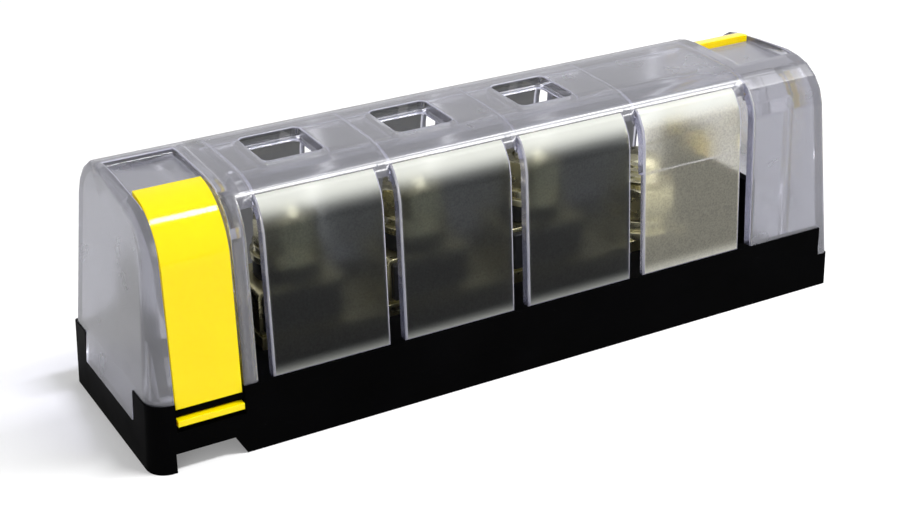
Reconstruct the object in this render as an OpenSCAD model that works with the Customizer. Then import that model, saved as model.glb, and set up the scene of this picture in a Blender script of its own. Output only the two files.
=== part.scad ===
// Four bay fuse block: a black base, a clear loaf shaped lid and two swing clips.
// Three bays hold a block fuse on a stud, the fourth bay holds the feed stud.
// The origin is at the middle of the underside, X runs along the block and the front faces -Y.

/* [Overall] */
// Distance between neighbouring bays
bay_pitch = 32; // [30:0.5:40]
// Length of each end section, from the outer face to the first slot
end_len = 27; // [27:0.5:36]
// Depth of the base from front to rear
body_w = 48; // [46:0.5:60]
// Height of the rim of the base, where the lid sits
rim_h = 16; // [15:0.5:20]
// Height of the top of the lid
lid_top = 58.8; // [57:0.2:70]

/* [Base] */
// Radius of the upright corners beside the clips
base_corner_r = 4.5; // [2:0.5:6]
// Radius of the other two upright corners
base_edge_r = 1.2; // [1.2:0.1:2]
// Draft of the outer walls of the base
base_draft = 2; // [0:0.5:3]
// Height of the deck that carries the bus bar
deck_z = 14; // [12:0.5:14.5]
// Thickness of the deck
deck_t = 3.2; // [2.4:0.2:4]
// Height of the floor in the two end wells
well_z = 7.5; // [6.5:0.5:8.5]
// Thickness of the floor in the end wells
well_t = 2.8; // [2:0.2:3]
// Thickness of the ribs on the underside
rib_t = 2; // [1.6:0.2:3]
// Width of the ledge between the rim and the thinner skirt below it
rim_ledge = 0.6; // [0.2:0.1:1]
// Wall round the heads of the studs, measured at the flats
boss_wall = 3.5; // [3:0.5:4.5]
// Thickness of the walls between the end wells and the bays
partition_t = 2.2; // [1.6:0.2:2.6]
// Height of the top of those walls
partition_top = 32; // [24:0.5:36]
// Gap between those walls and the clip channels
partition_gap = 1; // [0.5:0.1:2]
// Width of the corner post beside the clip
post_clip_side = 11; // [9:0.5:14]
// Width of the corner post on the other side of the left end
post_far_side = 7.5; // [6:0.5:12]
// Height of the sill in the end walls
sill_z = 8.6; // [8.2:0.2:12]
// Height of the notch under each clip
notch_h = 4.5; // [2:0.5:5]
// Slope of the inner side of the notch
notch_slope = 30; // [0:5:40]
// How far the notch starts before the clip
notch_lead = 1; // [0:0.1:1.5]
// Diameter of the holes for the mounting screws
screw_d = 5.2; // [4:0.1:6]
// Diameter of the bosses round those holes
screw_boss_d = 10.4; // [8:0.2:12]
// Distance of the mounting screws from the ends of the base
screw_end = 14; // [12:0.5:16]
// Distance between the mounting screws across the block
screw_pitch_y = 20; // [14:0.5:24]

/* [Lid] */
// Wall thickness of the lid
lid_wall = 2.4; // [1.8:0.1:2.6]
// Setback of the lid from the front and rear of the base
lid_step = 0.9; // [0.8:0.1:2]
// Setback of the lid from the ends of the base
lid_end_step = 0.8; // [0.5:0.1:1.2]
// Draft of the long walls
lid_draft = 4; // [2:0.5:6]
// Draft of the end walls
end_draft = 4.5; // [1:0.5:6]
// Height at which wall and roof would meet without the rounded shoulder
shoulder_z = 57.6; // [54:0.2:58]
// Radius of the shoulder
shoulder_r = 11; // [8:0.5:12]
// Width of the flat along the middle of the roof
crown_w = 14.5; // [10:0.5:16]
// Radius of the corners of the lid beside the clips
lid_corner_r = 5; // [4:0.5:6]
// Radius of the other two corners of the lid
lid_edge_r = 1.6; // [1:0.1:3]
// Width of the slots between the cable tabs
slot_w = 3.7; // [2:0.1:4]
// Distance of the score line from the front of the base
score_y = 7.8; // [7:0.2:11]
// Depth of the score line
score_depth = 0.7; // [0.3:0.1:1.2]
// Thickness of the lower half of the feed tabs
thin_tab_t = 1.3; // [0.8:0.1:1.6]
// Height at which the feed tabs get thicker
thin_tab_z = 40.9; // [30:0.5:45]
// Side length of the openings over the fuse studs
window_w = 14.3; // [10:0.1:16]
// Corner radius of those openings
window_r = 1.6; // [0.5:0.1:3]
// Thickness of the collar round each opening
collar_t = 1.5; // [1:0.1:2]
// Depth of the collar below the top of the lid
collar_h = 3.4; // [3:0.1:5]
// Width of the ribs under the roof
roof_rib_w = 1.2; // [0.8:0.1:2]
// Depth of the ribs under the roof
roof_rib_h = 0.9; // [0.5:0.1:1.5]
// Depth of the two ribs along the roof
long_rib_h = 0.6; // [0.3:0.1:1.2]
// Distance of the rib in each end section from the end of the base
end_rib_x = 12.9; // [11:0.1:16]
// Width of that rib
end_rib_w = 2; // [1:0.1:2.5]
// Depth of that rib
end_rib_h = 1.2; // [0.5:0.1:2]

/* [Clips] */
// Distance of the clip from the end of the base
clip_x = 6.4; // [6:0.1:7]
// Width of the clip
clip_w = 15.1; // [12:0.1:15.5]
// Thickness of the clip
clip_t = 2.4; // [1.8:0.1:2.8]
// Radius of the bend of the clip, larger than the shoulder of the lid
clip_bend_r = 15; // [12:0.5:15]
// How far the clip lies below the outside of the lid
clip_sink = 0.5; // [0.2:0.1:1]
// Distance of the upper end of the clip from the front of the base
clip_reach = 17.2; // [15:0.2:19]
// Length of the finger recess behind the upper end of the clip
recess_len = 16.4; // [10:0.2:18]
// Depth of the finger recess
recess_depth = 1.9; // [1:0.1:2.2]
// Thickness of the side walls of the clip channels
channel_wall = 1.8; // [1.2:0.1:2]
// Radius of the pin that the clip turns on
pin_r = 1.2; // [1:0.1:1.4]
// Distance of the pin from the front of the base
pin_y = 2.7; // [2.5:0.1:2.8]
// Height of the pin
pin_z = 13.3; // [13:0.1:14]
// How far the pin is sunk into each side of its pocket
pin_sink = 1; // [0.5:0.1:2]
// Thickness of the hook round the pin
hook_t = 1.3; // [1:0.1:1.5]
// Opening of the hook as a share of the diameter of the pin
hook_mouth = 0.9; // [0.75:0.05:0.9]
// How far the lip of the hook stands proud of the base
lip_proud = 0.1; // [0:0.1:0.6]

/* [Conductors] */
// Width of the bus bar
bus_w = 16; // [14:0.5:20]
// Thickness of the bus bar
bus_t = 3; // [2:0.5:4]
// Length of the bus bar beyond the outer studs
bus_end = 10; // [9:0.5:12]
// Length of a fuse along the block
fuse_l = 20.5; // [18:0.5:24]
// Depth of a fuse from front to rear
fuse_w = 17.5; // [16:0.5:22]
// Height of a fuse
fuse_h = 11; // [9:0.5:12]
// Thickness of the link round the fuse
link_t = 1; // [0.8:0.1:1.4]
// Width of the link
link_w = 14.5; // [13.5:0.5:16]
// Inner radius of the bends of the link
link_bend_r = 0.6; // [0.3:0.1:1]
// Diameter of the sight hole in the side of the link
sight_d = 5; // [3:0.5:6]

/* [Studs and nuts] */
// Diameter of the fuse studs
stud_d = 8; // [6:1:8]
// Height of the top of the fuse studs
stud_top = 44.5; // [43.5:0.5:48]
// Width across the flats of the fuse nuts and stud heads
stud_af = 13; // [12:0.5:14]
// Height of the heads of the fuse studs
stud_head_h = 5.3; // [4:0.1:6]
// Height of the fuse nuts
nut_h = 6.8; // [5:0.1:7]
// Angle of the chamfer on the corners of the nuts
nut_chamfer = 30; // [20:5:40]
// Length of the cut point of a stud as a share of its diameter
stud_point = 0.1; // [0.05:0.01:0.15]
// Diameter of the feed stud
feed_d = 10; // [8:1:10]
// Height of the top of the feed stud
feed_top = 36.5; // [33:0.5:44]
// Width across the flats of the feed nut and stud head
feed_af = 16; // [15:0.5:17]
// Height of the head of the feed stud
feed_head_h = 6.4; // [5:0.1:7]
// Height of the feed nut
feed_nut_h = 8.4; // [6:0.1:9]
// Height of the insulating bush above the fuse
bush_h = 4.3; // [3:0.1:5]
// Diameter of the flange of the insulating bush
bush_d = 15; // [13:0.5:18]
// Thickness of the sleeve of the insulating bush
sleeve_t = 0.7; // [0.5:0.1:0.8]
// Diameter of the flat washers on the fuses
washer_d = 16; // [15:0.5:18]
// Thickness of the flat washers on the fuses
washer_t = 1.6; // [1:0.1:2]
// Thickness of the spring washers on the fuses
spring_t = 2; // [1.6:0.1:2.2]
// Width of the rim of the spring washers on the fuses
spring_w = 3.2; // [2.5:0.1:3.5]
// Diameter of the flat washer on the feed stud
feed_washer_d = 20; // [18:0.5:22]
// Thickness of the flat washer on the feed stud
feed_washer_t = 2; // [1.2:0.1:2.5]
// Thickness of the spring washer on the feed stud
feed_spring_t = 2.5; // [2:0.1:3]
// Width of the rim of the spring washer on the feed stud
feed_spring_w = 3.8; // [3:0.1:4]
// Width of the slit in the spring washers
slit_w = 1; // [0.5:0.1:2]
// Direction of that slit
slit_turn = 20; // [0:5:180]

/* [Fits] */
// Gap at each side of a clip and under it
clip_gap = 0.35; // [0.3:0.05:0.5]
// Gap between the pin and the hook
pin_gap = 0.1; // [0.05:0.05:0.2]
// Gap round the lid where it drops into the base
lid_gap = 0.25; // [0.1:0.05:0.4]
// Gap round studs, heads and sleeves
stud_gap = 0.2; // [0.1:0.05:0.3]

/* [Hidden] */
$fn = 96;
fuse_count = 3;
bay_count = fuse_count + 1;
// Small overlap between bodies, overshoot of cutters, and a reach beyond everything
eps = 0.01;
over = 1;
far = 200;
// Steps round the shoulder and facets of the balls that form the lid
bend_steps = 4;
ball_fn = 32;
// Smallest radius of the inner edges of the lid
inner_edge_r = 0.4;
body_l = bay_count * bay_pitch + 2 * end_len;
rim_w = lid_step + lid_wall + lid_gap;
end_rim_w = lid_end_step + lid_wall + lid_gap;
skirt_t = rim_w - rim_ledge;
base_lean = rim_h * tan(base_draft);
// The inner face of each partition lines up with the near edge of the first slot
partition_x = end_len - slot_w / 2 - partition_t - lid_gap;
// The lid section: half width at the rim, and the slope between shoulder and crown
lid_hw = body_w / 2 - lid_step;
shoulder_hw = lid_hw - (shoulder_z - rim_h) * tan(lid_draft);
roof_slope = atan((lid_top - shoulder_z) / (shoulder_hw - crown_w / 2));
// Clips and hooks, with Y counted outwards from the middle
pin_out = body_w / 2 - pin_y;
hook_in = pin_r + pin_gap;
hook_out = hook_in + hook_t;
mouth = 2 * pin_r * hook_mouth;
clip_end = body_w / 2 - clip_reach;
clip_floor = clip_sink + clip_t + clip_gap;
lip_out = body_w / 2 - (pin_z - hook_out) * tan(base_draft) + lip_proud;
hook_sweep = norm([lip_out - pin_out, hook_out]) + clip_gap;
// Heights of the stack on each fuse stud and on the feed stud
bus_top = deck_z + bus_t;
fuse_top = bus_top + fuse_h;
bush_top = fuse_top + bush_h;
washer_top = bush_top + washer_t;
spring_top = washer_top + spring_t;
feed_washer_top = bus_top + feed_washer_t;
feed_spring_top = feed_washer_top + feed_spring_t;
deck_under = deck_z - deck_t;
fuse_hole_d = stud_d + 2 * (stud_gap + sleeve_t + stud_gap);

function bay_x(i) = (i - (bay_count - 1) / 2) * bay_pitch;
function slot_x(i) = (i - bay_count / 2) * bay_pitch;
// Half width of the lid at height z, brought in by t
function wall_out(z, t) = lid_hw - (z - rim_h) * tan(lid_draft) - t / cos(lid_draft);
// Half length of the lid at height z, brought in by t
function end_out(z, t) =
    body_l / 2 - lid_end_step - (z - rim_h) * tan(end_draft) - t / cos(end_draft);
// Place where wall and roof slope meet, both brought in by t
function shoulder_corner(t) =
    let (reach = sin(roof_slope) * crown_w / 2 + cos(roof_slope) * lid_top - t)
    let (foot = wall_out(0, t))
    let (z = (reach - sin(roof_slope) * foot) / (cos(roof_slope) - tan(lid_draft) * sin(roof_slope)))
    [foot - z * tan(lid_draft), z];
// Half width of the flat on the roof, brought in by t
function crown_out(t) = crown_w / 2 - t * tan(roof_slope / 2);
// Point on the bend that has this radius at the outside, brought in by t
function on_bend(bend, t, a) = shoulder_corner(bend) + (bend - t) * [cos(a), sin(a)];
shoulder_c = shoulder_corner(shoulder_r);
score_out = body_w / 2 - score_y;
score_a = acos((score_out - shoulder_c.x) / shoulder_r);

// Extrudes a section drawn in Y and Z from x0 to x1
module along_x(x0, x1) {
    translate([x0, 0, 0]) rotate([90, 0, 90]) linear_extrude(x1 - x0) children();
}

// The child as drawn at the left end and turned half round for the right end
module both_ends() {
    children();
    rotate([0, 0, 180]) children();
}

module both_sides() {
    children();
    mirror([0, 1, 0]) children();
}

module at_fuses() {
    for (i = [0 : fuse_count - 1]) translate([bay_x(i), 0, 0]) children();
}

module at_feed() {
    translate([bay_x(fuse_count), 0, 0]) children();
}

module box(x0, x1, y0, y1, z0, z1) {
    translate([x0, y0, z0]) cube([x1 - x0, y1 - y0, z1 - z0]);
}

// Rectangle with true round corners
module round_rect(l, w, r) {
    square([l - 2 * r, w], center = true);
    square([l, w - 2 * r], center = true);
    for (x = [-1, 1], y = [-1, 1]) translate([x * (l / 2 - r), y * (w / 2 - r)]) circle(r);
}

module tube(outer_d, inner_d, z0, z1) {
    translate([0, 0, z0]) difference() {
        cylinder(d = outer_d, h = z1 - z0);
        translate([0, 0, -over]) cylinder(d = inner_d, h = z1 - z0 + 2 * over);
    }
}

module hex_bar(af, z0, z1) {
    translate([0, 0, z0]) cylinder(d = af / cos(30), h = z1 - z0, $fn = 6);
}

// Section of the lid in Y and Z, brought in by t, from height z0 up, with this bend at the shoulders
module lid_section(t, z0, bend = shoulder_r) {
    c = shoulder_corner(bend);
    wall_end = on_bend(bend, t, lid_draft);
    roof_end = on_bend(bend, t, 90 - roof_slope);
    right_side = [[wall_out(z0, t), z0], wall_end, roof_end, [crown_out(t), lid_top - t]];
    last = len(right_side) - 1;
    left_side = [for (i = [last : -1 : 0]) [-right_side[i].x, right_side[i].y]];
    polygon(concat(right_side, left_side));
    for (side = [-1, 1]) translate([side * c.x, c.y]) circle(bend - t);
}

// Half of the outline of the section from the sill up, brought in by t
function lid_path(t) =
    let (z_low = sill_z - over)
    let (turn = 90 - roof_slope - lid_draft)
    let (bend = [for (k = [0 : bend_steps]) lid_draft + turn * k / bend_steps])
    concat([[wall_out(z_low, t), z_low]], [for (a = bend) on_bend(shoulder_r, t, a)],
        [[crown_out(t), lid_top - t]]);

// Form of the lid, brought in by t: balls follow the section at both ends, larger beside the clips
module lid_form(t) {
    hull() for (side = [-1, 1], end = [-1, 1]) {
        r = max((side * end > 0 ? lid_corner_r : lid_edge_r) - t, inner_edge_r);
        for (p = lid_path(t + r))
            translate([end * end_out(p.y, t + r), side * p.x, p.y]) sphere(r, $fn = ball_fn);
    }
}

// Channel for the front clip with the finger recess behind it, drawn with Y outwards
module channel_section() {
    difference() {
        translate([clip_end - clip_gap, pin_z]) square([far, far]);
        lid_section(clip_floor, 0, clip_bend_r);
    }
    translate([clip_end - recess_len, lid_top - recess_depth]) square([recess_len + eps, far]);
    // Room for the hook below the end of the channel
    translate([pin_out - hook_out - clip_gap - lid_wall, 0])
        square([far, pin_z + hook_out + clip_gap]);
}

// Wall under the channel and the recess
module liner_section() {
    difference() {
        translate([clip_end - clip_gap - lid_wall, rim_h]) square([far, far]);
        lid_section(clip_floor + lid_wall, 0, clip_bend_r);
    }
    translate([clip_end - recess_len - lid_wall, lid_top - recess_depth - lid_wall])
        square([recess_len, far]);
}

module channel_liners() {
    intersection() {
        lid_form(lid_wall / 2);
        both_ends() on_left_front(clip_x - clip_gap - channel_wall,
            clip_x + clip_w + clip_gap + channel_wall) liner_section();
    }
}

// Draws a section with Y outwards on the front of the left end, between two distances from that end
module on_left_front(x0, x1) {
    along_x(x0 - body_l / 2, x1 - body_l / 2) mirror([1, 0]) children();
}

module lid_shell() {
    intersection() {
        difference() {
            lid_form(0);
            lid_form(lid_wall);
        }
        union() {
            box(-far, far, -far, far, rim_h, far);
            lid_tongue_room(post_far_side + lid_gap);
            rotate([0, 0, 180]) lid_tongue_room(0);
        }
    }
}

// The end wall reaches down beside the clip's post, to this distance from the other side
module lid_tongue_room(far_side) {
    box(-body_l / 2, end_rim_w - lid_gap - body_l / 2,
        post_clip_side + lid_gap - body_w / 2, body_w / 2 - far_side, sill_z, rim_h + eps);
}

module lid() {
    color([0.82, 0.84, 0.87, 0.45]) difference() {
        union() {
            lid_shell();
            channel_liners();
            at_fuses() window_collar();
            for (i = [0 : bay_count]) roof_rib(slot_x(i) + slot_w / 2);
            both_sides() long_rib();
            both_ends() end_rib();
        }
        both_ends() on_left_front(clip_x - clip_gap, clip_x + clip_w + clip_gap) channel_section();
        at_fuses() window_hole();
        for (i = [0 : bay_count]) both_sides() tab_slot(slot_x(i));
        for (i = [0 : bay_count - 1]) both_sides() score_line(bay_x(i));
        both_sides() feed_tab_step();
    }
}

module window_collar() {
    translate([0, 0, lid_top - collar_h]) linear_extrude(collar_h - lid_wall / 2)
        round_rect(window_w + 2 * collar_t, window_w + 2 * collar_t, window_r + collar_t);
}

module window_hole() {
    translate([0, 0, lid_top - collar_h - over]) linear_extrude(collar_h + 2 * over)
        round_rect(window_w, window_w, window_r);
}

// Stiffening rib across the underside of the roof, beside a slot
module roof_rib(x) {
    along_x(x, x + roof_rib_w) difference() {
        intersection() {
            lid_section(lid_wall / 2, rim_h);
            translate([-score_out, 0]) square([2 * score_out, far]);
        }
        lid_section(lid_wall + roof_rib_h, 0);
    }
}

// Rib along the underside of the roof, at the edge of its flat
module long_rib() {
    z0 = lid_top - lid_wall - long_rib_h;
    box(slot_x(0), slot_x(bay_count), (crown_w - roof_rib_w) / 2, (crown_w + roof_rib_w) / 2,
        z0, lid_top - lid_wall / 2);
}

// Upright rib inside the end section, on the side that has no clip
module end_rib() {
    x = end_rib_x - body_l / 2;
    along_x(x - end_rib_w / 2, x + end_rib_w / 2) difference() {
        intersection() {
            lid_section(lid_wall / 2, rim_h);
            translate([crown_w / 2, 0]) square([far, far]);
        }
        lid_section(lid_wall + end_rib_h, 0);
    }
}

// Slot between two tabs, open at the lower edge
module tab_slot(x) {
    box(x - slot_w / 2, x + slot_w / 2, score_out, far, rim_h - over, far);
}

// V groove along the top of a tab
module score_line(x) {
    p = on_bend(shoulder_r, 0, score_a);
    half = (bay_pitch - slot_w) / 2 + over;
    side = score_depth * sqrt(2);
    along_x(x - half, x + half) translate(p) rotate(score_a + 45) square(side, center = true);
}

// The lower half of the feed tab is thinned from the inside
module feed_tab_step() {
    x = bay_x(fuse_count);
    half = (bay_pitch - slot_w) / 2 + over;
    along_x(x - half, x + half) difference() {
        intersection() {
            lid_section(thin_tab_t, rim_h - over);
            translate([score_out, 0]) square([far, thin_tab_z]);
        }
        lid_section(lid_wall + over, 0);
    }
}

// Swing clip in the shape of the lid section, with a hook that opens to the front above a square lip
module clip() {
    on_left_front(clip_x, clip_x + clip_w) difference() {
        union() {
            intersection() {
                difference() {
                    lid_section(clip_sink, 0, clip_bend_r);
                    lid_section(clip_sink + clip_t, 0, clip_bend_r);
                }
                translate([clip_end, pin_z]) square([far, far]);
            }
            intersection() {
                translate([pin_out, pin_z]) circle(hook_out);
                lid_section(clip_sink, 0, clip_bend_r);
            }
            translate([pin_out, pin_z - hook_out]) square([lip_out - pin_out, hook_out]);
        }
        translate([pin_out, pin_z]) circle(hook_in);
        translate([pin_out, pin_z - mouth / 2]) square([far, mouth]);
    }
}

module front_clip() {
    color("#ffe600") clip();
}

module rear_clip() {
    color("#ffe600") rotate([0, 0, 180]) clip();
}

// Pin across the clip pocket, sunk a little into both sides of it
module clip_pin() {
    x0 = clip_x - clip_gap - pin_sink - body_l / 2;
    length = clip_w + 2 * (clip_gap + pin_sink);
    translate([x0, -pin_out, pin_z]) rotate([0, 90, 0]) cylinder(r = pin_r, h = length);
}

module clip_pocket() {
    on_left_front(clip_x - clip_gap, clip_x + clip_w + clip_gap)
        translate([pin_out - hook_sweep, pin_z - hook_sweep]) square([far, far]);
}

// Notch in the lower edge of the wall under the clip, with one sloping side
module clip_notch() {
    x0 = clip_x - notch_lead - body_l / 2;
    x1 = clip_x + clip_w - body_l / 2;
    lean = tan(notch_slope);
    translate([0, skirt_t + over - body_w / 2, 0]) rotate([90, 0, 0])
        linear_extrude(skirt_t + 2 * over) polygon([[x0, -over], [x1 + over * lean, -over],
            [x1 - notch_h * lean, notch_h], [x0, notch_h]]);
}

// Cut in the end wall beside the clip's post, to this distance from the other side
module end_cutout(far_side) {
    box(-body_l / 2 - over, end_rim_w + eps - body_l / 2, post_clip_side - body_w / 2,
        body_w / 2 - far_side, sill_z, rim_h + over);
}

module well_space() {
    box(end_rim_w - body_l / 2, partition_x - body_l / 2, rim_w - body_w / 2, body_w / 2 - rim_w,
        well_z, rim_h + over);
}

module well_underside() {
    difference() {
        box(skirt_t - body_l / 2, partition_x - body_l / 2, skirt_t - body_w / 2,
            body_w / 2 - skirt_t, -over, well_z - well_t);
        at_end_screws() cylinder(d = screw_boss_d, h = far, center = true);
    }
}

module at_end_screws() {
    x = screw_end - body_l / 2;
    for (side = [-1, 1]) translate([x, side * screw_pitch_y / 2, 0]) children();
}

// Hollow under a bay, with a boss in its middle and a rib through the boss
module bay_underside(i, boss_d) {
    half = (bay_pitch - rib_t) / 2;
    difference() {
        box(bay_x(i) - half, bay_x(i) + half, skirt_t - body_w / 2, body_w / 2 - skirt_t,
            -over, deck_under);
        translate([bay_x(i), 0, 0]) cylinder(d = boss_d, h = far, center = true);
        box(bay_x(i) - rib_t / 2, bay_x(i) + rib_t / 2, -body_w, body_w, -far, far);
    }
}

// Upright wall between an end well and the bays, kept clear of the lid and of its clip channel
module partition() {
    on_left_front(partition_x, partition_x + partition_t) intersection() {
        lid_section(lid_wall + 2 * lid_gap, 0);
        translate([-far, well_z - well_t])
            square([far + wall_out(rim_h, clip_floor + lid_wall + partition_gap),
                partition_top - well_z + well_t]);
    }
}

// Block as high as the rim with drafted sides and true round corners
module drafted_block(l, w, r) {
    along_x(r - l / 2, l / 2 - r) drafted_side(w);
    rotate([0, 0, 90]) along_x(r - w / 2, w / 2 - r) drafted_side(l);
    for (x = [-1, 1], y = [-1, 1]) translate([x * (l / 2 - r), y * (w / 2 - r), 0])
        cylinder(r1 = r, r2 = r - base_lean, h = rim_h);
}

module drafted_side(w) {
    polygon([[-w / 2, 0], [w / 2, 0], [w / 2 - base_lean, rim_h], [base_lean - w / 2, rim_h]]);
}

// The corners without a clip are filled out until they are nearly sharp
module base_block() {
    corner = 2 * base_corner_r;
    drafted_block(body_l, body_w, base_corner_r);
    both_ends() translate([(corner - body_l) / 2, (body_w - corner) / 2, 0])
        drafted_block(corner, corner, base_edge_r);
}

module base() {
    color("#141414") union() {
        difference() {
            union() {
                base_block();
                both_ends() partition();
            }
            box(partition_x + partition_t - body_l / 2, body_l / 2 - partition_x - partition_t,
                rim_w - body_w / 2, body_w / 2 - rim_w, deck_z, rim_h + over);
            end_cutout(post_far_side);
            rotate([0, 0, 180]) end_cutout(-over);
            both_ends() {
                well_space();
                well_underside();
                clip_pocket();
                clip_notch();
                at_end_screws() cylinder(d = screw_d, h = far, center = true);
            }
            for (i = [0 : fuse_count - 1]) bay_underside(i, stud_af + 2 * boss_wall);
            bay_underside(fuse_count, feed_af + 2 * boss_wall);
            at_fuses() stud_seat(stud_d, stud_af);
            at_feed() stud_seat(feed_d, feed_af);
        }
        both_ends() clip_pin();
    }
}

// Hole through the deck and a hexagon pocket under it for the head of a stud
module stud_seat(d, af) {
    cylinder(d = d + 2 * stud_gap, h = far);
    hex_bar(af + 2 * stud_gap, -over, deck_under);
}

module bus_bar() {
    x0 = bay_x(0) - bus_end;
    x1 = bay_x(fuse_count) + bus_end;
    color("#c9c6ae") difference() {
        box(x0, x1, -bus_w / 2, bus_w / 2, deck_z, bus_top);
        at_fuses() cylinder(d = stud_d + 2 * stud_gap, h = far);
        at_feed() cylinder(d = feed_d + 2 * stud_gap, h = far);
    }
}

// Hexagon headed stud with a cut point
module stud(d, af, head_h, top) {
    point = d * stud_point;
    hex_bar(af, deck_under - head_h, deck_under);
    translate([0, 0, deck_under - eps]) cylinder(d = d, h = top - point - deck_under + eps);
    translate([0, 0, top - point - eps]) cylinder(d1 = d, d2 = d - 2 * point, h = point + eps);
}

module fuse_studs() {
    color("#bdb895") at_fuses() stud(stud_d, stud_af, stud_head_h, stud_top);
}

module feed_stud() {
    color("#bdb895") at_feed() stud(feed_d, feed_af, feed_head_h, feed_top);
}

// Side view of the link: a flat strip bent into a C, open to the right
module link_profile(t) {
    difference() {
        translate([fuse_l, 0])
            round_rect(2 * (fuse_l - t), fuse_h - 2 * t, link_t + link_bend_r - t);
        translate([fuse_l, -far / 2]) square([far, far]);
    }
}

module fuse_link(i) {
    color("#b9b48e") translate([bay_x(i), 0, 0]) difference() {
        translate([-fuse_l / 2, link_w / 2, bus_top + fuse_h / 2]) rotate([90, 0, 0])
            linear_extrude(link_w) difference() {
                link_profile(0);
                link_profile(link_t);
            }
        cylinder(d = fuse_hole_d, h = far);
        translate([-fuse_l / 2, 0, bus_top + fuse_h / 2]) rotate([0, 90, 0])
            cylinder(d = sight_d, h = 4 * link_t, center = true);
    }
}

module fuse_body(i) {
    color("#1b1b1b") translate([bay_x(i), 0, 0]) difference() {
        intersection() {
            translate([0, 0, bus_top + link_t]) linear_extrude(fuse_h - 2 * link_t)
                round_rect(fuse_l, fuse_w, link_t);
            translate([-fuse_l / 2, far / 2, bus_top + fuse_h / 2]) rotate([90, 0, 0])
                linear_extrude(far) link_profile(link_t);
        }
        cylinder(d = fuse_hole_d, h = far);
    }
}

module fuse_1_body() { fuse_body(0); }
module fuse_2_body() { fuse_body(1); }
module fuse_3_body() { fuse_body(2); }
module fuse_1_link() { fuse_link(0); }
module fuse_2_link() { fuse_link(1); }
module fuse_3_link() { fuse_link(2); }

// Insulating bush: a flange on the fuse and a sleeve down through it
module stud_bush(i) {
    bore = stud_d + 2 * stud_gap;
    color("#1b1b1b") translate([bay_x(i), 0, 0]) rotate_extrude() polygon([
        [bore / 2, bus_top], [bore / 2 + sleeve_t, bus_top], [bore / 2 + sleeve_t, fuse_top],
        [bush_d / 2, fuse_top], [bush_d / 2, bush_top], [bore / 2, bush_top]]);
}

module stud_bush_1() { stud_bush(0); }
module stud_bush_2() { stud_bush(1); }
module stud_bush_3() { stud_bush(2); }

module fuse_washers() {
    color("#c6c1a0") at_fuses() tube(washer_d, stud_d + 2 * stud_gap, bush_top, washer_top);
}

// Split spring washer, cut through on one side
module spring_washer(d, rim, z0, z1) {
    inner = d + 2 * stud_gap;
    difference() {
        tube(inner + 2 * rim, inner, z0, z1);
        rotate([0, 0, slit_turn]) box(0, d + rim, -slit_w / 2, slit_w / 2, z0 - over, z1 + over);
    }
}

module fuse_spring_washers() {
    color("#a9a484") at_fuses() spring_washer(stud_d, spring_w, washer_top, spring_top);
}

// Hexagon nut with chamfered corners
module nut(d, af, z0, z1) {
    flat = af / 2;
    reach = flat / cos(30) + over;
    rise = (reach - flat) * tan(nut_chamfer);
    difference() {
        intersection() {
            hex_bar(af, z0, z1);
            rotate_extrude() polygon([[0, z0], [flat, z0], [reach, z0 + rise],
                [reach, z1 - rise], [flat, z1], [0, z1]]);
        }
        translate([0, 0, z0 - over]) cylinder(d = d + 2 * stud_gap, h = z1 - z0 + 2 * over);
    }
}

module fuse_nuts() {
    color("#c6c1a0") at_fuses() nut(stud_d, stud_af, spring_top, spring_top + nut_h);
}

module feed_washer() {
    color("#c6c1a0") at_feed()
        tube(feed_washer_d, feed_d + 2 * stud_gap, bus_top, feed_washer_top);
}

module feed_spring_washer() {
    color("#a9a484") at_feed() spring_washer(feed_d, feed_spring_w, feed_washer_top, feed_spring_top);
}

module feed_nut() {
    color("#c6c1a0") at_feed() nut(feed_d, feed_af, feed_spring_top, feed_spring_top + feed_nut_h);
}

base();
lid();
front_clip();
rear_clip();
bus_bar();
fuse_studs();
feed_stud();
fuse_1_body();
fuse_2_body();
fuse_3_body();
fuse_1_link();
fuse_2_link();
fuse_3_link();
stud_bush_1();
stud_bush_2();
stud_bush_3();
fuse_washers();
fuse_spring_washers();
fuse_nuts();
feed_washer();
feed_spring_washer();
feed_nut();
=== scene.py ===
"""Looks of a four bay fuse block: black base, clear lid with frosted tabs, yellow clips, plated metal."""
from math import cos, pi, radians

import bmesh
import bpy
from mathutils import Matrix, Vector


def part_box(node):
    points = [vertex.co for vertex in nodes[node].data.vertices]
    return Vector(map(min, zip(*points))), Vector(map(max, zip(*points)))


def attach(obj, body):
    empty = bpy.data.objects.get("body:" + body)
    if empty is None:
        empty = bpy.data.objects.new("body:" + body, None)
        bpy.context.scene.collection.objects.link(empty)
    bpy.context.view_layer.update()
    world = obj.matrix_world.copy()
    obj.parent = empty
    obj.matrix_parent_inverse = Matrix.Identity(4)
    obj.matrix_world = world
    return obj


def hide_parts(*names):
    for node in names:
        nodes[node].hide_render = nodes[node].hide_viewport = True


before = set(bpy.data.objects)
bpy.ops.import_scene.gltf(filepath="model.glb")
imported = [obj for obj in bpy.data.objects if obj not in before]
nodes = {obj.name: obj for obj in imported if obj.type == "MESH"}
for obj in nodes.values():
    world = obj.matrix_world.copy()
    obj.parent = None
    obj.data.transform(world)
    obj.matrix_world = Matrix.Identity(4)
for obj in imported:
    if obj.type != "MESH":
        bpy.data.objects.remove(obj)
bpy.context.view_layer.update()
MM = 0.001

# Places on the lid, in millimetres in the row frame
BAYS_END_X = 65.9
SCORE_Y, SCORE_Z = 16.2, 54.6
STEP_Z = 40.9
LID_WALL = 2.4
CROWN_Y = 14.0
CLIP_NEAR, CLIP_FAR = 69.0, 85.0
TAB_FOOT_Z = 16.0
TAB_HALF = 14.15
# Strips of a tab painted pale, in millimetres: painted edge light at its sides and its foot, and a painted
# reflection of the overhead lamp below the score line
SIDE_STRIP, FOOT_STRIP = 0.9, 3.5
SCORE_HIGHLIGHT_STRIP, FEED_SCORE_STRIP = 5.5, 4.0
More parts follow.
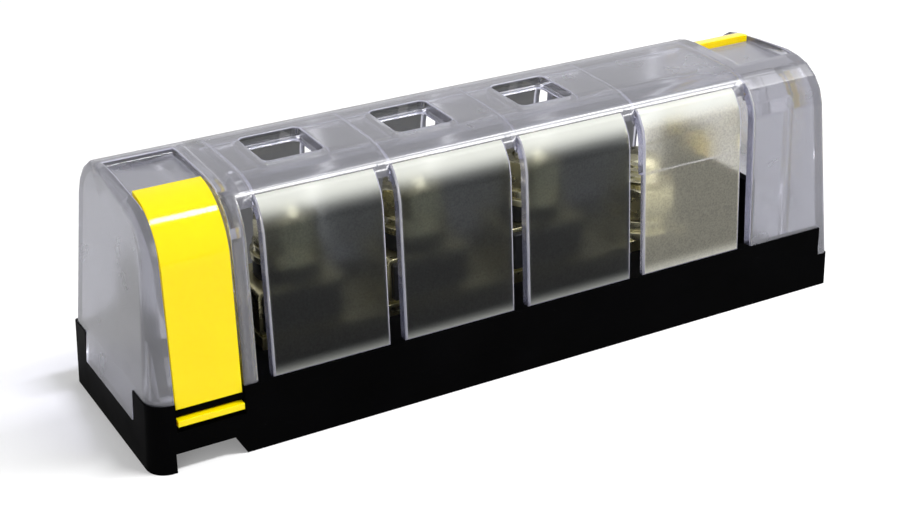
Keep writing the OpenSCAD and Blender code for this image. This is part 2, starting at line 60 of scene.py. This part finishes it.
# Rounding of the tabs' outlines and of the roof's edges, in millimetres
TAB_ROUND, ROOF_ROUND = 0.45, 0.3
LID_AXIS_END, LID_AXIS_Z = 80.0, 35.0
# Places of the lid's finishes in its list of materials
SATIN, POLISHED, FROSTED, THIN, SHADED_REAR_TABS, TAB_INSIDE, CUT, EDGE = range(8)
# Metric coarse threads, in millimetres
FUSE_THREAD = {"Diameter": 8.0, "Pitch": 1.25, "Head Width": 13.0, "Head Height": 5.3}
FEED_THREAD = {"Diameter": 10.0, "Pitch": 1.5, "Head Width": 16.0, "Head Height": 6.4}
BAY_PITCH = 32.0


def colour(code):
    """Linear RGBA of an sRGB hex colour."""
    parts = [int(code[i : i + 2], 16) / 255 for i in (1, 3, 5)]
    return (*[c / 12.92 if c <= 0.04045 else ((c + 0.055) / 1.055) ** 2.4 for c in parts], 1.0)


def add(tree, kind, inputs=None, **properties):
    """Adds a node, sets its properties, and sets or links its inputs."""
    node = tree.nodes.new(kind)
    for name, value in properties.items():
        setattr(node, name, value)
    for name, value in (inputs or {}).items():
        if isinstance(value, bpy.types.NodeSocket):
            tree.links.new(value, node.inputs[name])
        else:
            node.inputs[name].default_value = value
    return node


def material(name):
    """A new material, its node tree with only the output in it, and that output."""
    made = bpy.data.materials.new(name)
    made.use_nodes = True
    made.node_tree.nodes.clear()
    return made, made.node_tree, add(made.node_tree, "ShaderNodeOutputMaterial")


def per_mm(size):
    """Texture scale whose cells are about this many millimetres across."""
    return 1 / (size * MM)


# Materials


def black_plastic():
    """Glass-filled nylon, moulded black: deep black with fine grain and a faint sheen in broad patches."""
    made, tree, out = material("black_moulded_nylon")
    place = add(tree, "ShaderNodeTexCoord").outputs["Object"]
    flow = add(tree, "ShaderNodeTexNoise", {"Vector": place, "Scale": per_mm(14), "Detail": 4.0})
    # The real grain is about 0.1 mm, drawn at 0.5 mm so that it shows
    grain = add(tree, "ShaderNodeTexNoise", {"Vector": place, "Scale": per_mm(0.5), "Detail": 2.0})
    rough = add(tree, "ShaderNodeMapRange", {"Value": flow.outputs["Fac"], "From Min": 0.3, "From Max": 0.7,
                                             "To Min": 0.3, "To Max": 0.46})
    tone = add(tree, "ShaderNodeMix", {"Factor": flow.outputs["Fac"], "A": colour("#030303"),
                                       "B": colour("#070708")}, data_type="RGBA")
    bump = add(tree, "ShaderNodeBump", {"Height": grain.outputs["Fac"], "Strength": 0.12,
                                        "Distance": 0.05 * MM})
    skin = add(tree, "ShaderNodeBsdfPrincipled", {
        "Base Color": tone.outputs["Result"], "Roughness": rough.outputs["Result"],
        "Normal": bump.outputs["Normal"], "Specular IOR Level": 0.004})
    tree.links.new(skin.outputs["BSDF"], out.inputs["Surface"])
    return made


def yellow_plastic():
    """Acetal, moulded bright yellow: an even strong colour with sharp edged reflections, and some light
    comes through it."""
    made, tree, out = material("yellow_moulded_acetal")
    place = add(tree, "ShaderNodeTexCoord").outputs["Object"]
    flow = add(tree, "ShaderNodeTexNoise", {"Vector": place, "Scale": per_mm(9), "Detail": 3.0})
    tone = add(tree, "ShaderNodeMix", {"Factor": flow.outputs["Fac"], "A": colour("#fcd800"),
                                       "B": colour("#ffde00")}, data_type="RGBA")
    rough = add(tree, "ShaderNodeMapRange", {"Value": flow.outputs["Fac"], "From Min": 0.3, "From Max": 0.7,
                                             "To Min": 0.05, "To Max": 0.08})
    skin = add(tree, "ShaderNodeBsdfPrincipled", {
        "Base Color": tone.outputs["Result"], "Roughness": rough.outputs["Result"],
        "Specular IOR Level": 0.25, "Subsurface Weight": 0.6, "Subsurface Radius": (1.0, 0.7, 0.1),
        "Subsurface Scale": 2 * MM})
    tree.links.new(skin.outputs["BSDF"], out.inputs["Surface"])
    return made


def tab_painted_light_mask(tree, place, drop):
    """Goes from 0 to 1 towards the sides, foot and score line of each tab. It is the mask of the tab's
    painted light:
    painted edge light at the sides and foot, and a painted reflection of the overhead lamp below the score
    line."""
    part = add(tree, "ShaderNodeSeparateXYZ", {0: place}).outputs
    half = BAY_PITCH / 2 * MM
    across = add(tree, "ShaderNodeMath", {0: part["X"], 1: half}, operation="SUBTRACT")
    across = add(tree, "ShaderNodeMath", {0: across.outputs[0], 1: half, 2: -half}, operation="WRAP")
    across = add(tree, "ShaderNodeMath", {0: across.outputs[0]}, operation="ABSOLUTE")
    strips = ((across.outputs[0], TAB_HALF - SIDE_STRIP, TAB_HALF, 0.6),
              (part["Z"], TAB_FOOT_Z + FOOT_STRIP, TAB_FOOT_Z, 0.6),
              (part["Z"], SCORE_Z - drop, SCORE_Z, 1.0))
    rim = 0.0
    for value, start, end, most in strips:
        strip = add(tree, "ShaderNodeMapRange", {"Value": value, "From Min": start * MM, "From Max": end * MM,
                                                 "To Max": most}, interpolation_type="SMOOTHSTEP")
        most_so_far = add(tree, "ShaderNodeMath", {0: rim, 1: strip.outputs["Result"]}, operation="MAXIMUM")
        rim = most_so_far.outputs[0]
    return rim


def clear_plastic(name, tint, low, high, grain_depth, ior=1.58, clear=1.0, drop=0):
    """Moulded polycarbonate: shows what it covers, blurred by its mould texture. Drop is the depth in
    millimetres of a tab's painted highlight strip below the score line. With a drop, the tab is also painted
    pale at its sides and foot, as painted edge light."""
    made, tree, out = material(name)
    place = add(tree, "ShaderNodeTexCoord").outputs["Object"]
    flow = add(tree, "ShaderNodeTexNoise", {"Vector": place, "Scale": per_mm(11), "Detail": 3.0})
    # The real texture is finer than 0.1 mm, drawn at 0.45 mm so that it shows
    grain = add(tree, "ShaderNodeTexNoise", {"Vector": place, "Scale": per_mm(0.45), "Detail": 2.0})
    rough = add(tree, "ShaderNodeMapRange", {"Value": flow.outputs["Fac"], "From Min": 0.3, "From Max": 0.7,
                                             "To Min": low, "To Max": high})
    bump = add(tree, "ShaderNodeBump", {"Height": grain.outputs["Fac"], "Strength": 0.3,
                                        "Distance": grain_depth * MM})
    skin = add(tree, "ShaderNodeBsdfPrincipled", {
        "Base Color": colour(tint), "Roughness": rough.outputs["Result"], "IOR": ior,
        "Transmission Weight": clear, "Normal": bump.outputs["Normal"]})
    if drop:
        # Painted light: towards a tab's sides, foot and score line its colour turns pale and it grows less
        # clear. This stands in for edge light and for the overhead lamp's reflection.
        near = tab_painted_light_mask(tree, place, drop)
        speck = add(tree, "ShaderNodeMapRange", {
            "Value": grain.outputs["Fac"], "From Min": 0.3, "From Max": 0.7, "To Min": 0.75, "To Max": 1.25})
        tone = add(tree, "ShaderNodeVectorMath", {0: colour(tint)[:3], "Scale": speck.outputs["Result"]},
                   operation="SCALE")
        tone = add(tree, "ShaderNodeMix", {"Factor": near, "A": tone.outputs[0], "B": colour("#e6e8e0")},
                   data_type="RGBA")
        painted_light_clearness = add(tree, "ShaderNodeMapRange", {"Value": near, "To Min": clear, "To Max": 0.35})
        tree.links.new(tone.outputs["Result"], skin.inputs["Base Color"])
        tree.links.new(painted_light_clearness.outputs["Result"], skin.inputs["Transmission Weight"])
    # The lamps shine through to what the lid covers
    lamps_pass = add(tree, "ShaderNodeBsdfTransparent", {"Color": colour("#f4f4f8")})
    path = add(tree, "ShaderNodeLightPath")
    mixed = add(tree, "ShaderNodeMixShader", {0: path.outputs["Is Shadow Ray"], 1: skin.outputs["BSDF"],
                                              2: lamps_pass.outputs["BSDF"]})
    tree.links.new(mixed.outputs["Shader"], out.inputs["Surface"])
    return made


def edge_plastic_painted_light():
    """Polycarbonate at its edges, painted pale and slightly violet: painted edge light, standing in for light
    led through the sheet.
    """
    made, tree, out = material("polycarbonate_edge_painted_light")
    place = add(tree, "ShaderNodeTexCoord").outputs["Object"]
    flow = add(tree, "ShaderNodeTexNoise", {"Vector": place, "Scale": per_mm(6), "Detail": 3.0})
    tone = add(tree, "ShaderNodeMix", {"Factor": flow.outputs["Fac"], "A": colour("#b4b4cc"),
                                       "B": colour("#dcdcea")}, data_type="RGBA")
    skin = add(tree, "ShaderNodeBsdfPrincipled", {
        "Base Color": tone.outputs["Result"], "Roughness": 0.2, "IOR": 1.58, "Transmission Weight": 0.55})
    tree.links.new(skin.outputs["BSDF"], out.inputs["Surface"])
    return made


def plated_metal(name, bright, dull, smooth, worn):
    """Plated metal with a pale yellow cast: clouded colour and a slightly uneven gloss."""
    made, tree, out = material(name)
    place = add(tree, "ShaderNodeTexCoord").outputs["Object"]
    cloud = add(tree, "ShaderNodeTexNoise", {"Vector": place, "Scale": per_mm(3), "Detail": 5.0})
    tone = add(tree, "ShaderNodeMix", {"Factor": cloud.outputs["Fac"], "A": colour(bright),
                                       "B": colour(dull)}, data_type="RGBA")
    rough = add(tree, "ShaderNodeMapRange", {"Value": cloud.outputs["Fac"], "From Min": 0.3, "From Max": 0.7,
                                             "To Min": smooth, "To Max": worn})
    skin = add(tree, "ShaderNodeBsdfPrincipled", {
        "Base Color": tone.outputs["Result"], "Metallic": 1.0, "Roughness": rough.outputs["Result"]})
    tree.links.new(skin.outputs["BSDF"], out.inputs["Surface"])
    return made


def fuse_plastic():
    """Filled thermoset of the fuse blocks and bushes: matt near black with a fine pressed grain."""
    made, tree, out = material("matt_black_thermoset")
    place = add(tree, "ShaderNodeTexCoord").outputs["Object"]
    grain = add(tree, "ShaderNodeTexNoise", {"Vector": place, "Scale": per_mm(0.4), "Detail": 3.0})
    tone = add(tree, "ShaderNodeMix", {"Factor": grain.outputs["Fac"], "A": colour("#0a0a0b"),
                                       "B": colour("#18181a")}, data_type="RGBA")
    bump = add(tree, "ShaderNodeBump", {"Height": grain.outputs["Fac"], "Strength": 0.2,
                                        "Distance": 0.05 * MM})
    skin = add(tree, "ShaderNodeBsdfPrincipled", {
        "Base Color": tone.outputs["Result"], "Roughness": 0.55, "Normal": bump.outputs["Normal"],
        "Specular IOR Level": 0.2})
    tree.links.new(skin.outputs["BSDF"], out.inputs["Surface"])
    return made


black = black_plastic()
yellow = yellow_plastic()
fuse_black = fuse_plastic()
satin = clear_plastic("satin_polycarbonate", "#a4a4ae", 0.22, 0.28, 0.004, clear=0.72)
polished = clear_plastic("polished_polycarbonate", "#edeef0", 0.03, 0.05, 0.001)
# Lower than that of polycarbonate: the texture of the tabs takes their gloss away
MATT_IOR = 1.25
# The front tabs' dark grey tint is painted shade, standing in for the dark bays seen through them. Their
# frosting is the roughness and bump.
frosted = clear_plastic("frosted_polycarbonate", "#565b5c", 0.4, 0.46, 0.03, MATT_IOR, 1.0, SCORE_HIGHLIGHT_STRIP)
thin_frosted = clear_plastic("thin_frosted_polycarbonate", "#f0ecd8", 0.3, 0.36, 0.03, MATT_IOR, 0.86,
                             FEED_SCORE_STRIP)
# A guess for the unseen rear tabs: a near black tint, which is painted shade that keeps the bays behind the
# front tabs dark enough
rear_frosted_painted_shade = clear_plastic("deep_frosted_polycarbonate", "#1c1c1d", 0.42, 0.48, 0.03, MATT_IOR)
tab_inside = clear_plastic("polished_tab_polycarbonate", "#edeef0", 0.03, 0.05, 0.001, MATT_IOR)
cut = clear_plastic("cut_polycarbonate", "#a6a6c4", 0.12, 0.18, 0.001, MATT_IOR, 0.82)
edge = edge_plastic_painted_light()
plated_steel = plated_metal("zinc_plated_steel", "#d8d4b8", "#a8a283", 0.2, 0.34)
plated_copper = plated_metal("tin_plated_copper", "#d2cba6", "#a79e74", 0.24, 0.38)

# Pieces


def shown(name, mesh):
    """A new object with this mesh, in the scene."""
    made = bpy.data.objects.new(name, mesh)
    bpy.context.scene.collection.objects.link(made)
    return made


def copy_of(node, name):
    """An object with the node's mesh, its loose triangles joined and flat areas made single faces."""
    mesh = bpy.data.meshes.new(name)
    form = bmesh.new()
    form.from_mesh(nodes[node].data)
    bmesh.ops.remove_doubles(form, verts=form.verts, dist=0.005 * MM)
    bmesh.ops.dissolve_degenerate(form, edges=form.edges, dist=0.005 * MM)
    bmesh.ops.dissolve_limit(form, angle_limit=radians(0.3), verts=form.verts, edges=form.edges)
    form.to_mesh(mesh)
    form.free()
    return shown(name, mesh)


def rounded(piece, width, angle=32):
    """Rounds the piece's sharp edges by this many millimetres and shades it smooth."""
    for face in piece.data.polygons:
        face.use_smooth = True
    edges = piece.modifiers.new("edges", "BEVEL")
    edges.width = width * MM
    edges.segments = 2
    edges.limit_method = "ANGLE"
    edges.angle_limit = radians(angle)
    edges.use_clamp_overlap = True
    shade = piece.modifiers.new("shade", "WEIGHTED_NORMAL")
    shade.keep_sharp = True
    return piece


def dressed(node, finish, width, body="block"):
    """The node's copy with rounded edges and a finish, in the node's place."""
    piece = rounded(copy_of(node, node + "_moulded"), width)
    piece.data.materials.append(finish)
    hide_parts(node)
    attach(piece, body)


def lid_piece():
    """The lid's copy: satin roof and ends, frosted tabs, polished inside, pale cut faces, and rounded edges
    and the feed tab's step in a pale finish that is painted edge light.
    """
    piece = copy_of("lid", "lid_moulded")
    form = bmesh.new()
    form.from_mesh(piece.data)
    for x in (-BAYS_END_X, BAYS_END_X):
        parts = form.verts[:] + form.edges[:] + form.faces[:]
        bmesh.ops.bisect_plane(form, geom=parts, plane_co=(x * MM, 0, 0), plane_no=(1, 0, 0))
    for face in form.faces:
        middle, normal = face.calc_center_median() / MM, face.normal
        in_bays = abs(middle.x) < BAYS_END_X
        past = middle.x - max(min(middle.x, LID_AXIS_END), -LID_AXIS_END)
        inside = normal.dot(Vector((past, middle.y, middle.z - LID_AXIS_Z))) < 0
        in_slot = in_bays and abs(middle.y) > SCORE_Y - 0.2 and middle.z > TAB_FOOT_Z
        foot = normal.z < -0.9 and middle.z < TAB_FOOT_Z + 1
        step = in_bays and abs(normal.z) > 0.7 and abs(middle.z - STEP_Z) < 0.5
        under_clip = middle.x * middle.y > 0 and CLIP_NEAR < abs(middle.x) < CLIP_FAR
        tab_front = in_bays and abs(middle.y) > SCORE_Y and normal.y * middle.y > 0
        # The feed tab's step takes the pale edge finish: a painted light line
        if step:
            face.material_index = EDGE
        elif foot or in_slot and abs(normal.x) > 0.9:
            face.material_index = CUT
        elif inside or under_clip:
            face.material_index = TAB_INSIDE if in_bays and abs(middle.y) > SCORE_Y - LID_WALL else POLISHED
        elif tab_front and middle.y > 0:
            face.material_index = SHADED_REAR_TABS
        elif tab_front:
            face.material_index = THIN if middle.x > BAY_PITCH else FROSTED
    for width, of_tabs in ((TAB_ROUND, True), (ROOF_ROUND, False)):
        outline = []
        for corner in form.edges:
            if len(corner.link_faces) == 2 and corner.is_convex and corner.calc_face_angle(0) > radians(45):
                finishes = {face.material_index for face in corner.link_faces}
                tab_edge = CUT in finishes and finishes & {FROSTED, THIN, SHADED_REAR_TABS}
                roof_edge = SATIN in finishes and max(abs(v.co.y) for v in corner.verts) < CROWN_Y * MM
                if tab_edge if of_tabs else roof_edge:
                    outline.append(corner)
        # The rounded edges take the pale edge finish: painted edge light
        bmesh.ops.bevel(form, geom=outline, offset=width * MM, offset_type="OFFSET", segments=2, profile=0.5,
                        affect="EDGES", clamp_overlap=False, material=EDGE)
    form.to_mesh(piece.data)
    form.free()
    for finish in (satin, polished, frosted, thin_frosted, rear_frosted_painted_shade, tab_inside, cut, edge):
        piece.data.materials.append(finish)
    for face in piece.data.polygons:
        face.use_smooth = True
    piece.data.set_sharp_from_angle(angle=radians(50))
    shade = piece.modifiers.new("shade", "WEIGHTED_NORMAL")
    shade.keep_sharp = True
    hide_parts("lid")
    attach(piece, "block")


def stud_tree():
    """Geometry Nodes for a row of hexagon headed studs whose shank has a helical thread and a cut point."""
    tree = bpy.data.node_groups.new("threaded_studs", "GeometryNodeTree")
    sizes = ("Diameter", "Pitch", "Head Width", "Head Height", "Bottom", "Top", "First", "Spacing")
    for name in sizes:
        tree.interface.new_socket(name, in_out="INPUT", socket_type="NodeSocketFloat")
    tree.interface.new_socket("Count", in_out="INPUT", socket_type="NodeSocketInt")
    tree.interface.new_socket("Finish", in_out="INPUT", socket_type="NodeSocketMaterial")
    tree.interface.new_socket("Studs", in_out="OUTPUT", socket_type="NodeSocketGeometry")
    given = add(tree, "NodeGroupInput").outputs

    def sum_of(operation, *values):
        return add(tree, "ShaderNodeMath", dict(enumerate(values)), operation=operation).outputs[0]

    # Shank: six rings for each turn of the thread
    length = sum_of("SUBTRACT", given["Top"], given["Bottom"])
    radius = sum_of("MULTIPLY", given["Diameter"], 0.5)
    rings = sum_of("MULTIPLY", sum_of("DIVIDE", length, given["Pitch"]), 6.0)
    shank = add(tree, "GeometryNodeMeshCylinder", {
        "Vertices": 36, "Side Segments": rings, "Radius": radius, "Depth": length}).outputs["Mesh"]
    centre = sum_of("MULTIPLY", sum_of("ADD", given["Top"], given["Bottom"]), 0.5)
    lift = add(tree, "ShaderNodeCombineXYZ", {"Z": centre}).outputs[0]
    shank = add(tree, "GeometryNodeTransform", {"Geometry": shank, "Translation": lift}).outputs[0]
    # Groove: a triangular wave along the height that turns once in every pitch
    place = add(tree, "GeometryNodeInputPosition").outputs[0]
    part = add(tree, "ShaderNodeSeparateXYZ", {0: place}).outputs
    turn = sum_of("DIVIDE", sum_of("ARCTAN2", part["Y"], part["X"]), 2 * pi)
    phase = sum_of("FRACT", sum_of("SUBTRACT", sum_of("DIVIDE", part["Z"], given["Pitch"]), turn))
    wave = sum_of("ABSOLUTE", sum_of("SUBTRACT", sum_of("MULTIPLY", phase, 2.0), 1.0))
    groove = sum_of("MULTIPLY", wave, sum_of("MULTIPLY", given["Pitch"], 0.54))
    point = sum_of("MAXIMUM", sum_of("ADD", sum_of("SUBTRACT", part["Z"], given["Top"]), given["Pitch"]), 0.0)
    shrink = sum_of("SUBTRACT", 1.0, sum_of("DIVIDE", sum_of("MAXIMUM", groove, point), radius))
    scale = add(tree, "ShaderNodeCombineXYZ", {"X": shrink, "Y": shrink, "Z": 1.0}).outputs[0]
    moved = add(tree, "ShaderNodeVectorMath", {0: place, 1: scale}, operation="MULTIPLY").outputs[0]
    shank = add(tree, "GeometryNodeSetPosition", {"Geometry": shank, "Position": moved}).outputs[0]
    # Head: a hexagon under the shank
    corner = sum_of("DIVIDE", given["Head Width"], 2 * cos(radians(30)))
    head = add(tree, "GeometryNodeMeshCylinder", {
        "Vertices": 6, "Radius": corner, "Depth": given["Head Height"]}).outputs["Mesh"]
    drop = sum_of("SUBTRACT", given["Bottom"], sum_of("MULTIPLY", given["Head Height"], 0.5))
    drop = add(tree, "ShaderNodeCombineXYZ", {"Z": drop}).outputs[0]
    head = add(tree, "GeometryNodeTransform", {"Geometry": head, "Translation": drop}).outputs[0]
    stud = add(tree, "GeometryNodeJoinGeometry")
    tree.links.new(head, stud.inputs[0])
    tree.links.new(shank, stud.inputs[0])
    start = add(tree, "ShaderNodeCombineXYZ", {"X": given["First"]}).outputs[0]
    step = add(tree, "ShaderNodeCombineXYZ", {"X": given["Spacing"]}).outputs[0]
    row = add(tree, "GeometryNodeMeshLine", {
        "Count": given["Count"], "Start Location": start, "Offset": step})
    placed = add(tree, "GeometryNodeInstanceOnPoints", {
        "Points": row.outputs[0], "Instance": stud.outputs[0]})
    real = add(tree, "GeometryNodeRealizeInstances", {"Geometry": placed.outputs[0]})
    done = add(tree, "GeometryNodeSetMaterial", {"Geometry": real.outputs[0],
                                                 "Material": given["Finish"]})
    add(tree, "NodeGroupOutput", {"Studs": done.outputs[0]})
    return tree


def threaded(node, tree, thread, count):
    """Threaded studs in the place of a node of plain ones, whose box gives their heights and first place."""
    low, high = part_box(node)
    reach = thread["Head Width"] * MM / 2 / cos(radians(30))
    values = {name: size * MM for name, size in thread.items()}
    values.update({"Bottom": low[2] + thread["Head Height"] * MM, "Top": high[2], "First": low[0] + reach,
                   "Spacing": BAY_PITCH * MM, "Count": count, "Finish": plated_steel})
    maker = shown(node + "_maker", bpy.data.meshes.new(node + "_maker"))
    work = maker.modifiers.new("studs", "NODES")
    work.node_group = tree
    for item in tree.interface.items_tree:
        if item.name in values:
            work[item.identifier] = values[item.name]
    ready = maker.evaluated_get(bpy.context.evaluated_depsgraph_get())
    mesh = bpy.data.meshes.new_from_object(ready)
    maker.modifiers.clear()
    bpy.data.objects.remove(maker)
    mesh.name = node + "_threaded"
    for face in mesh.polygons:
        face.use_smooth = True
    mesh.set_sharp_from_angle(angle=radians(50))
    piece = shown(node + "_threaded", mesh)
    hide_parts(node)
    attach(piece, "block")


lid_piece()
dressed("base", black, 0.35)
dressed("front_clip", yellow, 0.2, "front_clip")
dressed("rear_clip", yellow, 0.2, "rear_clip")
dressed("bus_bar", plated_copper, 0.3)
for number in (1, 2, 3):
    dressed(f"fuse_{number}_body", fuse_black, 0.3)
    dressed(f"fuse_{number}_link", plated_copper, 0.15)
    dressed(f"stud_bush_{number}", fuse_black, 0.2)
for node in ("fuse_washers", "fuse_spring_washers", "fuse_nuts",
             "feed_washer", "feed_spring_washer", "feed_nut"):
    dressed(node, plated_steel, 0.15)
studs = stud_tree()
threaded("fuse_studs", studs, FUSE_THREAD, 3)
threaded("feed_stud", studs, FEED_THREAD, 1)

# Stage: floor, surround, lamps and camera


def seen_rays(tree):
    """1 for what is seen, mirrored or seen through, and 0 for what only gives light."""
    path = add(tree, "ShaderNodeLightPath").outputs
    seen = path["Is Camera Ray"]
    for kind in ("Is Glossy Ray", "Is Transmission Ray"):
        seen = add(tree, "ShaderNodeMath", {0: seen, 1: path[kind]}, operation="MAXIMUM").outputs[0]
    return seen


def floor():
    """A wide pale floor that shows the shadow. A little light of its own, where seen, makes it white."""
    made, tree, out = material("pale_floor")
    lift = add(tree, "ShaderNodeMath", {0: seen_rays(tree), 1: 0.2}, operation="MULTIPLY")
    paint = add(tree, "ShaderNodeBsdfDiffuse", {"Color": (0.8, 0.8, 0.8, 1)})
    glow = add(tree, "ShaderNodeEmission", {"Color": (1, 1, 1, 1), "Strength": lift.outputs[0]})
    both = add(tree, "ShaderNodeAddShader", {0: paint.outputs["BSDF"], 1: glow.outputs["Emission"]})
    tree.links.new(both.outputs["Shader"], out.inputs["Surface"])
    reach = 6.0
    mesh = bpy.data.meshes.new("floor")
    corners = [(-reach, -reach, 0), (reach, -reach, 0), (reach, reach, 0), (-reach, reach, 0)]
    mesh.from_pydata(corners, [], [(0, 1, 2, 3)])
    mesh.materials.append(made)
    shown("floor", mesh)


def surround():
    """White all round for what is seen, mirrored or seen through; softer for what it lights."""
    world = bpy.data.worlds.new("white_surround")
    bpy.context.scene.world = world
    world.use_nodes = True
    tree = world.node_tree
    tree.nodes.clear()
    out = add(tree, "ShaderNodeOutputWorld")
    level = add(tree, "ShaderNodeMapRange", {"Value": seen_rays(tree), "To Min": 0.5, "To Max": 1.0})
    light = add(tree, "ShaderNodeBackground", {"Color": (1, 1, 1, 1), "Strength": level.outputs["Result"]})
    tree.links.new(light.outputs["Background"], out.inputs["Surface"])


def lamp(name, place, aim, size, power):
    """A soft rectangular lamp, in metres and watts."""
    data = bpy.data.lights.new(name, "AREA")
    data.shape = "RECTANGLE"
    data.size, data.size_y = size
    data.energy = power
    made = bpy.data.objects.new(name, data)
    made.location = place
    made.rotation_euler = (Vector(place) - Vector(aim)).to_track_quat("Z", "Y").to_euler()
    bpy.context.scene.collection.objects.link(made)


def photo_camera():
    """Stands where the photograph was taken from."""
    data = bpy.data.cameras.new("photo_camera")
    data.sensor_fit = "HORIZONTAL"
    data.sensor_width = 36.0
    data.lens = 70.9
    data.clip_start, data.clip_end = 0.01, 30.0
    made = bpy.data.objects.new("photo_camera", data)
    made.location = (-0.19225, -0.32549, 0.20731)
    made.rotation_euler = (radians(63.696), 0.0, radians(-29.806))
    bpy.context.scene.collection.objects.link(made)
    bpy.context.scene.camera = made


floor()
surround()
lamp("overhead_strip", (0.42, -0.275, 0.82), (0.42, 0.0, 0.04), (0.6, 0.13), 9.5)
lamp("left_fill", (-0.85, -0.75, 0.2), (-0.03, 0.0, 0.03), (0.6, 0.4), 2.5)
photo_camera()
bpy.context.scene.view_settings.view_transform = "Standard"
